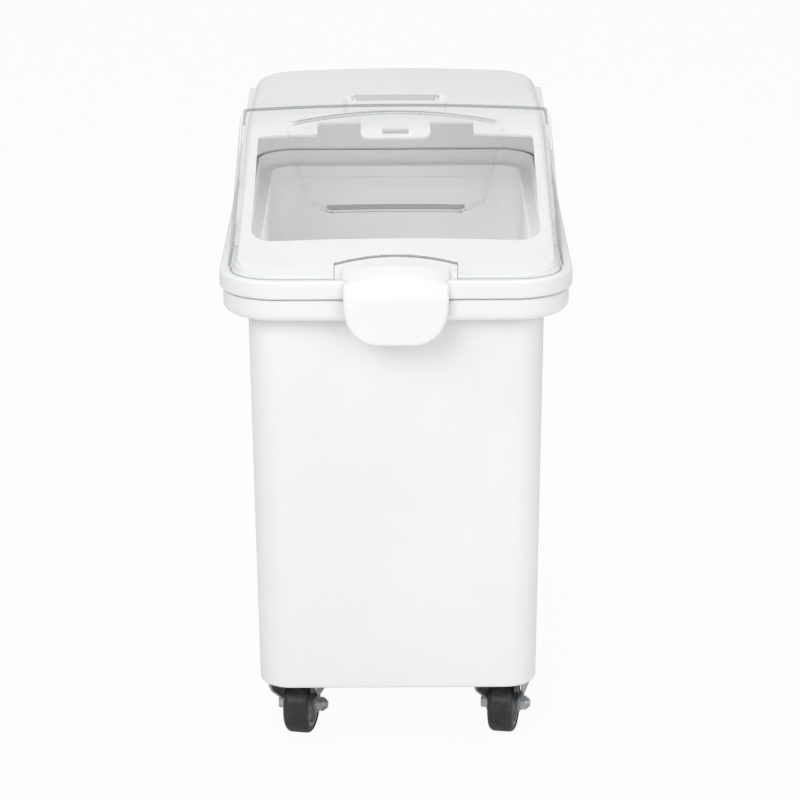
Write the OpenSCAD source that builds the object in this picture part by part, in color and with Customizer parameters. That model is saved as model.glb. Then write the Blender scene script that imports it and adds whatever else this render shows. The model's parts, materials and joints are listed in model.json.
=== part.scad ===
// Rolling flour bin: a moulded tub on casters with a lift-off hood and a clear lid that slides back.
// Millimetres, +Z up, front towards -Y, origin on the floor under the middle of the bin.

/* [Bin] */
// Width over the floor of the bin
floor_w = 340; // [310:5:380]
// Length over the floor of the bin
floor_l = 655; // [600:5:720]
// Outward lean of each wall between floor and rim
wall_lean = 7; // [3:1:12]
// Height from the bin's floor to the top of its rim
bin_h = 494; // [420:2:560]
// Thickness of the moulded walls
wall_t = 3.5; // [2.5:0.5:4.5]
// Radius of the upright corners
corner_r = 40; // [32:1:42]
// How far the wall's foot hangs below the floor, round the casters' plates
foot_h = 10; // [6:0.5:10]
// Radius of the edge around the foot
foot_edge_r = 4; // [2:0.5:5]
// How far the rolled rim stands out from the wall
rim_out = 29; // [22:1:36]
// Height of the rolled rim
rim_h = 28; // [24:1:32]
// Thickness of the floor pads that carry the casters
pad_t = 13; // [12:1:18]

/* [Hood] */
// How far the skirt stands out past the bin's rim
skirt_out = 4; // [2:1:6]
// Height of the skirt above the bin's rim
skirt_h = 23; // [18:1:30]
// Height of the hood's flat top above its skirt
hood_rise = 113; // [95:1:125]
// Distance from the skirt's edge to the hood's wall
hood_in = 18; // [16:1:22]
// Inward lean of the hood's side walls
hood_lean = 3; // [1:1:5]
// Radius of the hood's top edge at the rear
hood_rear_r = 20; // [14:1:30]
// Rise of the hood's and lid's crown across the width
crown = 6; // [3:1:9]
// Width of the slanted opening
opening_w = 348; // [300:2:350]
// Distance from the lid's front to the opening, down the slope
opening_front = 94; // [80:1:120]
// Length of the opening along the slope
opening_l = 267; // [220:1:280]
// Width of the tab that a scoop hangs from
hook_tab_w = 88; // [60:1:110]
// Width of the slot in that tab
hook_slot_w = 33; // [20:1:40]

/* [Front tongue] */
// Width of the tongue at the skirt
tongue_w = 124; // [100:2:150]
// Width of the tongue at its lower end
tongue_tip_w = 120; // [96:2:122]
// How far the tongue hangs below the skirt
tongue_drop = 52; // [40:1:64]
// How far the tongue stands out in front of the skirt
tongue_out = 15; // [12:1:20]
// Thickness of the tongue's hanging flap
tongue_t = 5.5; // [4:0.5:7]

/* [Clear lid] */
// Thickness of the clear plastic
lid_t = 3; // [2.5:0.5:4]
// Slope of the lid
lid_slope = 16; // [14:0.5:18]
// Height of the lid's front lip above the skirt
lid_lip_h = 14; // [12:1:18]
// Gap between the lid and the hood's slope
lid_gap = 14; // [12:1:18]
// Depth of the lid's side walls
lid_wall_h = 54; // [53:1:58]
// Half width of the arched cut-out over the tongue
arch_half_w = 72; // [66:1:90]
// Height of the arched cut-out, up the slope
arch_l = 26; // [20:1:36]
// Width of the grip recess at its upper end
grip_w = 280; // [220:5:300]
// Width of the grip recess at its lower end
grip_low_w = 212; // [180:2:216]
// Depth of the grip recess at its lower end
grip_d = 6; // [4:0.5:6.5]
// Angle that the lid turns through on its curved rails
lid_travel_deg = 17; // [10:1:17]

/* [Casters] */
// Height from the floor to the bin's underside
caster_h = 95; // [92:1:110]
// Wheel diameter over the tyre
wheel_d = 75; // [60:1:76]
// Wheel width over the tyre
wheel_w = 32; // [26:1:34]
// Distance from each side of the floor to a caster's axis
caster_side_in = 43; // [43:1:55]
// Distance from each end of the floor to a caster's axis
caster_end_in = 45.5; // [45:0.5:85]
// Distance from the swivel axis to the axle
trail = 28; // [22:1:30]
// Width of the caster plates
plate_w = 66; // [65:0.5:67]
// Length of the caster plates
plate_l = 52; // [50:0.5:53]
// Thickness of the stamped steel
steel_t = 3; // [2.5:0.25:3.5]
// Diameter of the axle bolts
axle_d = 10; // [8:0.5:11]
// Diameter of the mounting screws
screw_d = 6; // [5:0.5:7]
// How far the front left caster is turned
swivel_left = 13; // [-180:1:180]
// How far the front right caster is turned
swivel_right = 11; // [-180:1:180]

/* [Hidden] */
$fn = 64;

// Sides of the round parts inside a hull
hull_fn = 32;
// How far every cut runs past the face it opens
over = 1;
// Thickness of the sheets that a hull is stretched over
sheet = 0.01;
// Gap where flat faces of two bodies pass each other
slip = 0.4;

// Levels and plan sizes of the tub, its rim and the skirt
floor_z = caster_h;
foot_z = floor_z - foot_h;
foot_t = 6;
rim_z = floor_z + bin_h;
skirt_z = rim_z + skirt_h;
hood_z = skirt_z + hood_rise;
top_w = floor_w + 2 * wall_lean;
top_l = floor_l + 2 * wall_lean;
rim_w = top_w + 2 * rim_out;
rim_l = top_l + 2 * rim_out;
rim_r = corner_r + rim_out;
skirt_w = rim_w + 2 * skirt_out;
skirt_l = rim_l + 2 * skirt_out;
skirt_r = rim_r + skirt_out;
hood_w = skirt_w - 2 * hood_in;
hood_l = skirt_l - 2 * hood_in;
hood_r = skirt_r - hood_in;
// The overall box is centred, so the bin itself sits half the tongue further back
mid_y = tongue_out / 2;
skirt_front_y = mid_y - skirt_l / 2;
tongue_front_y = skirt_front_y - tongue_out;
// Rounding of the rim's and skirt's outer edges, and of their lower ends
band_edge_r = 4;
rim_roll_r = 11;
// Steps in the quarter round of a moulded edge
edge_steps = 4;

// Seat of the hood inside the bin's mouth
seat_clear = 1;
seat_drop = 12;
seat_w = top_w - 2 * wall_t - 2 * seat_clear;
seat_l = top_l - 2 * wall_t - 2 * seat_clear;
seat_r = corner_r - wall_t - seat_clear;

// Lid: its outer corners and the frame of its slope
lid_in = 10;
lid_front_in = 8;
lid_lean = 2.5;
lid_edge_r = 9;
lid_corner_r = 54;
lid_w = skirt_w - 2 * lid_in;
lid_front_y = skirt_front_y + lid_front_in;
lid_front_z = skirt_z + lid_lip_h;
lid_half = lid_w / 2 - lid_lean;
lid_depth = lid_t + lid_gap;
// Distance that the lid's rear edge stays in front of the hood's crease
lid_rear_in = 15;
crease_y = lid_front_y + (hood_z - lid_front_z + lid_depth / cos(lid_slope)) / tan(lid_slope);
lid_rear_y = crease_y - lid_rear_in;
lid_l = (lid_rear_y - lid_front_y) / cos(lid_slope);
lid_rear_flange_h = 9;
hood_front_z = skirt_z - sheet;
hood_half = hood_w / 2 - hood_lean;
hood_edge_r = 12;
crown_parts = 4;

// Centre of the curved rails that the lid runs on, in the plane of its middle
lid_arc_r = 1180;
lid_arc_lead = 4.5;
lid_arc_start = lid_slope + lid_arc_lead;
lid_mid_y = (lid_front_y + lid_rear_y) / 2;
lid_mid_z = lid_front_z + (lid_mid_y - lid_front_y) * tan(lid_slope);
arc_y = lid_mid_y + lid_arc_r * sin(lid_arc_start);
arc_z = lid_mid_z - lid_arc_r * cos(lid_arc_start);
// The lid's shoes, and their places along the lid from its middle
shoe_l = 24;
shoe_h = 4;
shoe_reach = 2;
shoe_front = -28;
shoe_rear = 70;
// Rails on the hood's sides that run between the shoes
rail_h = 4;
rail_drop = 44;
rail_r = lid_arc_r - rail_drop;
rail_gap = 1.3;
rail_x = lid_half - lid_t + lid_lean * rail_drop / lid_wall_h - rail_gap;
rail_root = 7;
rail_ahead = 46;
rail_end = 6;
rail_behind = shoe_rear + shoe_l / 2 + rail_r * lid_travel_deg * PI / 180 + rail_end;
rail_front_y = lid_mid_y - rail_ahead;
rail_rear_y = lid_mid_y + rail_behind;

// Grip recess of the lid: arched upper end, tilted floor and a finger ledge
grip_low = 146;
grip_l = 214;
grip_arch = 28;
grip_top_d = 1.5;
grip_low_r = 22;
ledge_w = 166;
ledge_l = 46;
ledge_d = 2;
ledge_r = 14;
arch_step = 8;

// Details of the hood's opening and top
opening_low_r = 30;
opening_top_r = 5;
notch_w = 55;
notch_l = 31;
tab_l = 13;
tab_r = 12;
slot_l = 17;
slot_in = 9;
recess_w = 132;
recess_l = 103;
recess_d = 8;
recess_front = 4;
recess_cut = 14;
tongue_tip_r = 32;
tongue_edge = 4;
tongue_root_w = 132;
tongue_root_l = 50;
tongue_rise = 5;

// Caster stack from the plate down
wheel_r = wheel_d / 2;
tyre_t = 7.5;
core_r = wheel_r - tyre_t;
tyre_edge_r = 7;
core_in = 1.5;
core_w = wheel_w - 2 * core_in;
hub_r = 13;
hub_gap = 0.5;
hub_out = 1;
hub_w = wheel_w + 2 * hub_out;
leg_in = hub_w / 2 + hub_gap;
leg_r = 12;
sleeve_wall = 2;
sleeve_r = axle_d / 2 + sleeve_wall;
run_clear = 0.08;
fit_clear = 0.1;
plate_r = 9;
plate_bottom = caster_h - steel_t;
crown_t = 4;
wheel_gap = 5.5;
crown_z = wheel_d + wheel_gap;
crown_r = 32;
crown_top = crown_z + crown_t;
ball_r = 2.5;
ball_pitch = 15;
ball_count = 14;
ball_clear = 0.15;
ball_sink = 0.6;
ball_z = crown_top + ball_r - ball_sink;
race_bottom = ball_z + ball_r - ball_sink;
race_wall = 4;
kingpin_r = 5;
kingpin_head_r = 8;
kingpin_head_h = 3;
kingpin_flush_h = 2;
cup_r = 14;
cup_t = 3.2;
cup_gap = 0.3;
cup_bottom = crown_z - cup_gap - cup_t;
leg_top_l = 48;
leg_ahead = 16;
leg_bend = 10;
leg_flare = 32;
leg_flare_in = crown_r - steel_t;
leg_scoop_r = 24;
rear_leg_l = 44;
bolt_head_h = 6;
bolt_head_share = 0.95;
nut_h = 9;
nut_dome_share = 0.7;
washer_t = 1.4;
washer_r = axle_d;
bolt_end = 2;
// Outer face of a leg, and of the washer on it
leg_face = leg_in + steel_t;
washer_face = leg_face + washer_t;
core_dish = 5;
core_rim_t = 5;
core_web_r = core_r - core_rim_t;

// Mounting screws and the inserts moulded into the floor pads
screw_dx = 54;
screw_dy = 36;
screw_head_h = 4;
screw_head_share = 0.9;
screw_head_r = screw_d * screw_head_share;
insert_wall = 2;
insert_r = screw_d / 2 + insert_wall;
insert_l = 10;
pad_margin = 6;
pad_r = 12;

// Where each caster's upright axis stands: front pair turned, rear pair straight
caster_x = floor_w / 2 - caster_side_in;
front_y = mid_y - floor_l / 2 + caster_end_in;
rear_y = mid_y + floor_l / 2 - caster_end_in;

// Height of the crown at a distance from the middle, with its mean at zero
function crown_at(x, half) = crown * (0.5 - pow(x / half, 2));

// Rounded rectangle
module plan(w, l, r) {
    square([w - 2 * r, l], center = true);
    square([w, l - 2 * r], center = true);
    for (sx = [-1, 1], sy = [-1, 1])
        translate([sx * (w / 2 - r), sy * (l / 2 - r)]) circle(r);
}

// Upright prism on a rounded rectangle about the bin's middle
module prism(w, l, r, z0, z1) {
    translate([0, mid_y, z0]) linear_extrude(z1 - z0) plan(w, l, r);
}

// Thin sheet of a hull at one level, drawn in by an inset
module level(w, l, r, z, inset) {
    translate([0, mid_y, z]) linear_extrude(sheet)
        plan(w - 2 * inset, l - 2 * inset, r - inset, $fn = hull_fn);
}

// Sweeps a section around a rounded rectangle; the section's x runs outwards from its outline
module around(w, l, r) {
    translate([0, mid_y, 0]) {
        for (i = [0 : 3]) let (sx = i == 0 || i == 3 ? 1 : -1, sy = i < 2 ? 1 : -1)
            translate([sx * (w / 2 - r), sy * (l / 2 - r), 0]) rotate(90 * i)
                rotate_extrude(angle = 90) translate([r, 0]) children();
        for (s = [0, 1]) {
            rotate(180 * s) translate([w / 2, l / 2 - r, 0]) rotate([90, 0, 0])
                linear_extrude(l - 2 * r) children();
            rotate(180 * s + 90) translate([l / 2, w / 2 - r, 0]) rotate([90, 0, 0])
                linear_extrude(w - 2 * r) children();
        }
    }
}

// Section of a moulded band: a flat top running in, a round outer edge and a lip rolled in at its lower end
module band_section(run_in, z0, z1, roll) {
    let (e = band_edge_r, bend = z0 + roll) difference() {
        union() {
            translate([-run_in, bend]) square([run_in, z1 - bend - e]);
            translate([-run_in, z0]) square([run_in - roll, z1 - z0 - e]);
            translate([-run_in, bend]) square([run_in - e, z1 - bend]);
            translate([-e, z1 - e]) circle(e);
            translate([-roll, bend]) circle(roll);
        }
        translate([-run_in - over, z0 - over]) square([run_in + over - roll, z1 - z0 + over - wall_t]);
        translate([-run_in - over, bend]) square([run_in + over - wall_t, z1 - bend - wall_t]);
        translate([-roll, bend]) circle(roll - wall_t);
    }
}

// Frame of the lid's slope: y runs up the slope from the lid's front, z is square to it
module on_slope() {
    translate([0, lid_front_y, lid_front_z]) rotate([lid_slope, 0, 0]) children();
}

// Flat piece in the slope's frame between two depths
module slope_prism(z0, z1) {
    on_slope() translate([0, 0, z0]) linear_extrude(z1 - z0) children();
}

// Ring sector about the centre of the lid's rails, on one side of the bin
module rail_ring(r0, r1, x0, x1) {
    translate([x0, arc_y, arc_z]) rotate([0, 90, 0]) difference() {
        cylinder(r = r1, h = x1 - x0, $fn = 256);
        translate([0, 0, -over]) cylinder(r = r0, h = x1 - x0 + 2 * over, $fn = 256);
    }
}

// Tub from a level up to another, grown inwards by t
module tub(t, low, top) {
    hull() {
        for (i = [0 : edge_steps])
            let (a = 90 * i / edge_steps, r = foot_edge_r)
                level(floor_w, floor_l, corner_r, low + r * (1 - cos(a)), t + r * (1 - sin(a)));
        level(top_w, top_l, corner_r, rim_z - sheet, t);
        level(top_w, top_l, corner_r, top - sheet, t);
    }
}

// Four pads or screws of one caster, and all four casters
module at_casters() {
    for (sx = [-1, 1], y = [front_y, rear_y]) translate([sx * caster_x, y, 0]) children();
}
module at_screws() {
    at_casters() for (sx = [-1, 1], sy = [-1, 1])
        translate([sx * screw_dx / 2, sy * screw_dy / 2, 0]) children();
}

module bin_body() {
    color("white") difference() {
        union() {
            difference() {
                union() {
                    tub(0, foot_z, rim_z);
                    around(rim_w, rim_l, rim_r)
                        band_section(rim_out + wall_t / 2, rim_z - rim_h, rim_z, rim_roll_r);
                }
                tub(wall_t, floor_z + wall_t, rim_z + over);
                prism(floor_w - 2 * foot_t, floor_l - 2 * foot_t, corner_r - foot_t, foot_z - over, floor_z);
            }
            at_casters() translate([0, 0, floor_z + wall_t / 2]) linear_extrude(pad_t - wall_t / 2)
                plan(plate_w + pad_margin, plate_l + pad_margin, pad_r);
        }
        at_screws() translate([0, 0, floor_z - over]) cylinder(r = insert_r + fit_clear, h = insert_l + over);
    }
}

module floor_inserts() {
    color("goldenrod") at_screws() translate([0, 0, floor_z]) difference() {
        cylinder(r = insert_r, h = insert_l);
        translate([0, 0, -over]) cylinder(d = screw_d + 2 * fit_clear, h = insert_l + 2 * over);
    }
}

module caster_screws() {
    color("silver") at_screws() {
        translate([0, 0, plate_bottom - screw_head_h]) cylinder(r = screw_head_r, h = screw_head_h, $fn = 6);
        translate([0, 0, plate_bottom - sheet]) cylinder(d = screw_d, h = steel_t + insert_l);
    }
}

// Hood form grown inwards by t: plan at the rim, plan at the ledge, crease and rear edge
module hood_form(t) {
    let (back_y = mid_y + hood_l / 2 - hood_lean, turn_r = hood_r - hood_lean, r = hood_rear_r) hull() {
        level(hood_w, hood_l, hood_r, rim_z + t, t);
        level(hood_w, hood_l, hood_r, hood_front_z - t, t);
        for (i = [-crown_parts : crown_parts]) let (share = i / crown_parts) {
            hood_ball(share * (hood_half - hood_edge_r), crease_y + hood_edge_r * tan(lid_slope / 2),
                hood_edge_r, t);
            hood_ball(share * (hood_half - turn_r), back_y - r, r, t);
        }
        for (s = [-1, 1], a = [0 : 90 / edge_steps : 90])
            hood_ball(s * (hood_half - turn_r + (turn_r - r) * cos(a)),
                back_y - turn_r + (turn_r - r) * sin(a), r, t);
    }
}
module hood_ball(x, y, r, t) {
    translate([x, y, hood_z + crown_at(x, hood_half) - r]) sphere(r - t, $fn = hull_fn);
}

// Opening in the slope: rounded below, with two notches and a slotted tab above
module opening_outline() {
    let (half = opening_w / 2, top = opening_front + opening_l) {
        difference() {
            union() {
                translate([-half, opening_front + opening_low_r])
                    square([opening_w, opening_l - opening_low_r - opening_top_r]);
                translate([-half + opening_low_r, opening_front])
                    square([opening_w - 2 * opening_low_r, opening_l]);
                for (s = [-1, 1]) {
                    translate([s * (half - opening_low_r), opening_front + opening_low_r])
                        circle(opening_low_r);
                    translate([s * (half - opening_low_r / 2) - opening_low_r / 2, top - 2 * opening_top_r])
                        square([opening_low_r - opening_top_r, 2 * opening_top_r]);
                    translate([s * (half - opening_top_r), top - opening_top_r]) circle(opening_top_r);
                    translate([s * (hook_tab_w + notch_w) / 2 - notch_w / 2, top - over])
                        square([notch_w, notch_l + over]);
                }
            }
            translate([-hook_tab_w / 2, top - tab_l + tab_r]) square([hook_tab_w, tab_l + notch_l]);
            translate([-hook_tab_w / 2 + tab_r, top - tab_l])
                square([hook_tab_w - 2 * tab_r, tab_l + notch_l]);
            for (s = [-1, 1])
                translate([s * (hook_tab_w / 2 - tab_r), top - tab_l + tab_r]) circle(tab_r);
        }
        translate([-hook_slot_w / 2, top - tab_l + slot_in]) square([hook_slot_w, slot_l]);
    }
}

// Hand recess in the hood's flat top, with its rear corners cut off, grown by t
module recess_outline(t) {
    let (half = recess_w / 2 + t, y0 = crease_y + recess_front - t, y1 = y0 + recess_l + 2 * t)
        polygon([[-half, y0], [half, y0], [half, y1 - recess_cut], [half - recess_cut, y1],
            [-half + recess_cut, y1], [-half, y1 - recess_cut]]);
}

// Rails that carry the lid, standing out of the hood's side walls
module lid_rails() {
    for (s = [0, 1]) mirror([s, 0, 0]) intersection() {
        rail_ring(rail_r - rail_h / 2, rail_r + rail_h / 2, hood_half - rail_root, rail_x);
        translate([0, rail_front_y, skirt_z]) cube([skirt_w, rail_rear_y - rail_front_y, hood_rise]);
    }
}

// Front view of the tongue, drawn in by an inset
module tongue_outline(inset) {
    let (top = skirt_z - band_edge_r - inset, low = rim_z - tongue_drop + inset)
        hull() {
            for (s = [-1, 1]) {
                translate([s * (tongue_w / 2 - inset - band_edge_r), top - band_edge_r]) circle(band_edge_r);
                translate([s * (tongue_w / 2 - inset - band_edge_r), rim_z - rim_h / 2]) circle(band_edge_r);
                translate([s * (tongue_tip_w / 2 - tongue_tip_r), low + tongue_tip_r - inset])
                    circle(tongue_tip_r - inset);
            }
        }
}
module tongue_sheet(y, inset, t) {
    translate([0, y + t, 0]) rotate([90, 0, 0]) linear_extrude(t) tongue_outline(inset, $fn = hull_fn);
}
module tongue() {
    hull() {
        tongue_sheet(tongue_front_y, tongue_edge, sheet);
        tongue_sheet(tongue_front_y + tongue_edge, 0, tongue_t - tongue_edge);
    }
    // Root that carries the flap from the skirt and runs up the slope under the arch
    hull() {
        for (s = [-1, 1]) {
            translate([s * (tongue_w / 2 - band_edge_r), tongue_front_y + tongue_edge + band_edge_r / 2,
                rim_z + band_edge_r]) cylinder(r = band_edge_r / 2, h = skirt_h - 3 * band_edge_r);
            translate([s * (tongue_w / 2 - band_edge_r), skirt_front_y + band_edge_r, rim_z + band_edge_r])
                cylinder(r = band_edge_r, h = skirt_h + tongue_rise - band_edge_r);
            translate([s * (tongue_root_w / 2 - band_edge_r), skirt_front_y + tongue_root_l,
                    rim_z + band_edge_r])
                cylinder(r = band_edge_r, h = skirt_h + lid_lip_h - band_edge_r);
        }
    }
}

module lid_base() {
    color("white") difference() {
        union() {
            hood_form(0);
            lid_rails();
            prism(seat_w, seat_l, seat_r, rim_z - seat_drop, rim_z + wall_t);
            around(skirt_w, skirt_l, skirt_r)
                band_section(hood_in + wall_t / 2, rim_z + slip, skirt_z, band_edge_r);
            intersection() {
                tongue();
                union() {
                    translate([-skirt_w / 2, tongue_front_y, 0]) cube([skirt_w, tongue_t, hood_z]);
                    translate([-skirt_w / 2, tongue_front_y, rim_z + slip]) cube([skirt_w, skirt_l, hood_z]);
                }
            }
        }
        difference() {
            hood_form(wall_t);
            recess_prism(wall_t);
        }
        recess_prism(0);
        // Mouth inside the lip that sits in the bin
        prism(seat_w - 2 * wall_t, seat_l - 2 * wall_t, seat_r - wall_t, rim_z - seat_drop - over,
            rim_z + wall_t + over);
        slope_prism(-lid_depth - crown - 4 * wall_t, -lid_t - crown) opening_outline();
    }
}
// The recess itself, or its walls and floor when grown by t
module recess_prism(t) {
    translate([0, 0, hood_z - recess_d - t]) linear_extrude(recess_d + crown + 2 * t) recess_outline(t);
}

// Section of the lid across the slope, grown inwards by t
function lid_arc(t) = [for (i = [0 : crown_parts * 2]) let (share = i / crown_parts - 1,
    half = lid_half - lid_edge_r) [share * half, crown_at(share * half, lid_half) - t]];
function lid_corner(t, s) = [for (i = [0 : edge_steps - 1])
    let (a = (s < 0 ? i : edge_steps - 1 - i) * 90 / edge_steps, r = lid_edge_r - t)
        [s * (lid_half - lid_edge_r + r * cos(a)),
            crown_at(lid_half - lid_edge_r, lid_half) - lid_edge_r + r * sin(a)]];
module lid_section(t) {
    let (low = lid_wall_h + (t > 0 ? over : 0), foot = lid_half + lid_lean - t)
        polygon(concat([[-foot, -low]], lid_corner(t, -1), lid_arc(t), lid_corner(t, 1), [[foot, -low]]));
}

// Plan of the lid with rounded front corners, grown inwards by t
module lid_plan(t) {
    let (half = lid_w / 2 - t, y0 = lid_front_y + t, r = lid_corner_r - t,
            l = lid_rear_y - lid_front_y + lid_lip_h) {
        translate([-half, y0 + r]) square([2 * half, l]);
        translate([-half + r, y0]) square([2 * (half - r), l]);
        for (s = [-1, 1]) translate([s * (half - r), y0 + r]) circle(r);
    }
}

// Solid under the lid's upper face, grown inwards by t
module lid_solid(t) {
    let (past = t > 0 ? over : 0) intersection() {
        on_slope() translate([0, lid_l + past, 0]) rotate([90, 0, 0])
            linear_extrude(lid_l + lid_lip_h + past) lid_section(t);
        translate([0, 0, skirt_z + slip - past]) linear_extrude(hood_z) lid_plan(t);
    }
}

// Grip recess seen square to the slope, drawn in by an inset
module grip_outline(inset) {
    let (top_half = grip_w / 2 - inset, low_half = grip_low_w / 2 - inset, y0 = grip_low + inset,
        y1 = grip_low + grip_l, r = grip_low_r, rise = grip_arch - inset)
        polygon(concat(
            [for (a = [270 : 15 : 345]) [low_half - r + r * cos(a), y0 + r + r * sin(a)]],
            [for (i = [0 : 12]) let (share = 1 - i / 6)
                [top_half * share, y1 - inset + rise * (1 - pow(share, 2))]],
            [for (a = [195 : 15 : 270]) [-low_half + r + r * cos(a), y0 + r + r * sin(a)]]));
}
module ledge_outline(inset) {
    let (half = ledge_w / 2 - inset, y0 = grip_low + inset, y1 = grip_low + ledge_l - inset,
            r = ledge_r - inset) {
        translate([-half, y0]) square([2 * half, ledge_l - 2 * inset - r]);
        translate([-half + r, y0]) square([2 * (half - r), ledge_l - 2 * inset]);
        for (s = [-1, 1]) translate([s * (half - r), y1 - r]) circle(r);
    }
}

// Block under the tilted floor of the recess, t below it
module grip_floor(t) {
    let (tilt = atan((grip_d - grip_top_d) / (grip_l + grip_arch)))
        on_slope() translate([0, grip_low, -grip_d - t]) rotate([tilt, 0, 0])
            translate([-grip_w, -grip_l, 0]) cube([2 * grip_w, 3 * grip_l, 3 * lid_wall_h]);
}

// Arched cut-out in the lid's front edge, with a short upright step at each end
module arch_outline() {
    polygon(concat([[-arch_half_w, -2 * lid_lip_h], [-arch_half_w, arch_step]],
        [for (i = [1 : 11]) let (share = i / 6 - 1)
            [share * arch_half_w, arch_step + (arch_l - arch_step) * (1 - pow(share, 2))]],
        [[arch_half_w, arch_step], [arch_half_w, -2 * lid_lip_h]]));
}

// Shoes inside the lid's side walls, above and below the rails
module lid_shoes() {
    for (s = [0, 1]) mirror([s, 0, 0]) intersection() {
        union() {
            rail_ring(rail_r + rail_h / 2 + slip, rail_r + rail_h / 2 + slip + shoe_h,
                rail_x - shoe_reach, lid_w / 2 - lid_t / 2);
            rail_ring(rail_r - rail_h / 2 - slip - shoe_h, rail_r - rail_h / 2 - slip,
                rail_x - shoe_reach, lid_w / 2 - lid_t / 2);
        }
        on_slope() for (at = [shoe_front, shoe_rear])
            translate([0, (lid_l - shoe_l) / 2 + at, -lid_wall_h]) cube([lid_w, shoe_l, lid_wall_h - crown]);
        lid_solid(lid_t / 2);
    }
}

module clear_lid() {
    color("lightcyan", 0.4) difference() {
        union() {
            difference() {
                lid_solid(0);
                lid_solid(lid_t);
            }
            intersection() {
                lid_solid(0);
                union() {
                    intersection() {
                        slope_prism(-lid_wall_h, crown) grip_outline(0);
                        grip_floor(lid_t);
                    }
                    slope_prism(-grip_d - ledge_d - lid_t, crown) ledge_outline(0);
                    slope_prism(-lid_rear_flange_h, crown)
                        translate([-lid_w / 2, lid_l - lid_t]) square([lid_w, lid_t]);
                }
            }
            lid_shoes();
        }
        intersection() {
            slope_prism(-lid_wall_h, 2 * crown) grip_outline(lid_t);
            grip_floor(0);
        }
        slope_prism(-grip_d - ledge_d, 2 * crown) ledge_outline(lid_t);
        slope_prism(-lid_wall_h, 2 * crown) arch_outline();
    }
}

// Place of one caster's upright axis, and the turn of each front caster
module spot(side, y) {
    translate([side * caster_x, y, 0]) children();
}
module front_left() {
    spot(-1, front_y) rotate(-swivel_left) children();
}
module front_right() {
    spot(1, front_y) rotate(-swivel_right) children();
}
module rear_left() {
    spot(-1, rear_y) children();
}
module rear_right() {
    spot(1, rear_y) children();
}
// Lays a piece along the axle, which is a distance behind the upright axis
module axle_at(y) {
    translate([0, y, wheel_r]) rotate([0, 90, 0]) children();
}
// Round hole through everything on the axle
module axle_hole(y) {
    axle_at(y) cylinder(d = axle_d + 2 * fit_clear, h = 4 * hub_w, center = true);
}

// Steel plate screwed to the bin's floor, with its four holes
module plate_blank() {
    difference() {
        translate([0, 0, plate_bottom]) linear_extrude(steel_t) plan(plate_w, plate_l, plate_r);
        for (sx = [-1, 1], sy = [-1, 1])
            translate([sx * screw_dx / 2, sy * screw_dy / 2, plate_bottom - over])
                cylinder(d = screw_d + 2 * fit_clear, h = steel_t + 2 * over);
    }
}

// Ring of the bearing's ball track at a radius
module ball_track() {
    translate([0, 0, ball_z]) rotate_extrude() translate([ball_pitch, 0]) circle(ball_r + ball_clear);
}

module top_plate() {
    color("lightgray") difference() {
        union() {
            plate_blank();
            translate([0, 0, race_bottom])
                cylinder(r = ball_pitch + race_wall, h = plate_bottom - race_bottom);
        }
        ball_track();
        translate([0, 0, race_bottom - over]) cylinder(r = kingpin_r + fit_clear, h = caster_h);
        translate([0, 0, caster_h - kingpin_flush_h]) cylinder(r = kingpin_head_r + fit_clear, h = caster_h);
    }
}

module balls() {
    color("gainsboro") for (i = [0 : ball_count - 1])
        rotate(360 * i / ball_count) translate([ball_pitch, 0, ball_z]) sphere(ball_r);
}

module race_cup() {
    color("lightgray") translate([0, 0, cup_bottom]) difference() {
        cylinder(r = cup_r, h = cup_t);
        translate([0, 0, -over]) cylinder(r = kingpin_r + fit_clear, h = cup_t + 2 * over);
    }
}

module kingpin() {
    color("silver") {
        translate([0, 0, cup_bottom - kingpin_head_h]) cylinder(r = kingpin_head_r, h = kingpin_head_h);
        translate([0, 0, cup_bottom - sheet]) cylinder(r = kingpin_r, h = caster_h - cup_bottom);
        translate([0, 0, caster_h - kingpin_flush_h]) cylinder(r = kingpin_head_r, h = kingpin_flush_h);
    }
}

// Pair of stamped legs from a shoulder down to the axle, flared out to top_in at the shoulder
module legs(y0, l, z, t, axle_y, top_in) {
    let (bend_z = wheel_r + leg_bend, flare_z = wheel_r + leg_flare, leg_out = leg_in + steel_t,
        top_out = top_in + steel_t)
        for (s = [0, 1]) mirror([s, 0, 0]) intersection() {
            rotate([90, 0, 90]) linear_extrude(2 * crown_r) hull() {
                translate([y0, z]) square([l, t]);
                translate([axle_y, wheel_r]) circle(leg_r, $fn = hull_fn);
            }
            translate([0, 2 * crown_r, 0]) rotate([90, 0, 0]) linear_extrude(4 * crown_r)
                polygon([[leg_in, 0], [leg_out, 0], [leg_out, bend_z], [top_out, flare_z], [top_out, z + t],
                    [top_in, z + t], [top_in, flare_z], [leg_in, bend_z]]);
        }
}

module swivel_fork() {
    color("silver") difference() {
        union() {
            translate([0, 0, crown_z]) cylinder(r = crown_r, h = crown_t);
            translate([-crown_r, -leg_ahead, crown_z]) cube([2 * crown_r, leg_top_l, crown_t]);
            legs(-leg_ahead, leg_top_l, crown_z, crown_t, trail, leg_flare_in);
        }
        ball_track();
        translate([0, 0, crown_z - over]) cylinder(r = kingpin_r + run_clear, h = crown_t + 2 * over);
        axle_hole(trail);
        // Hollow front edge of the legs
        translate([0, trail - leg_r - leg_scoop_r, wheel_r + leg_r]) rotate([0, 90, 0])
            cylinder(r = leg_scoop_r, h = 4 * hub_w, center = true);
    }
}

module rigid_fork() {
    color("silver") difference() {
        union() {
            plate_blank();
            legs(-rear_leg_l / 2, rear_leg_l, plate_bottom, steel_t / 2, 0, leg_in);
        }
        axle_hole(0);
    }
}

module axle_sleeve() {
    color("silver") difference() {
        cylinder(r = sleeve_r, h = 2 * leg_in, center = true);
        cylinder(d = axle_d + 2 * fit_clear, h = 3 * leg_in, center = true);
    }
}

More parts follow.
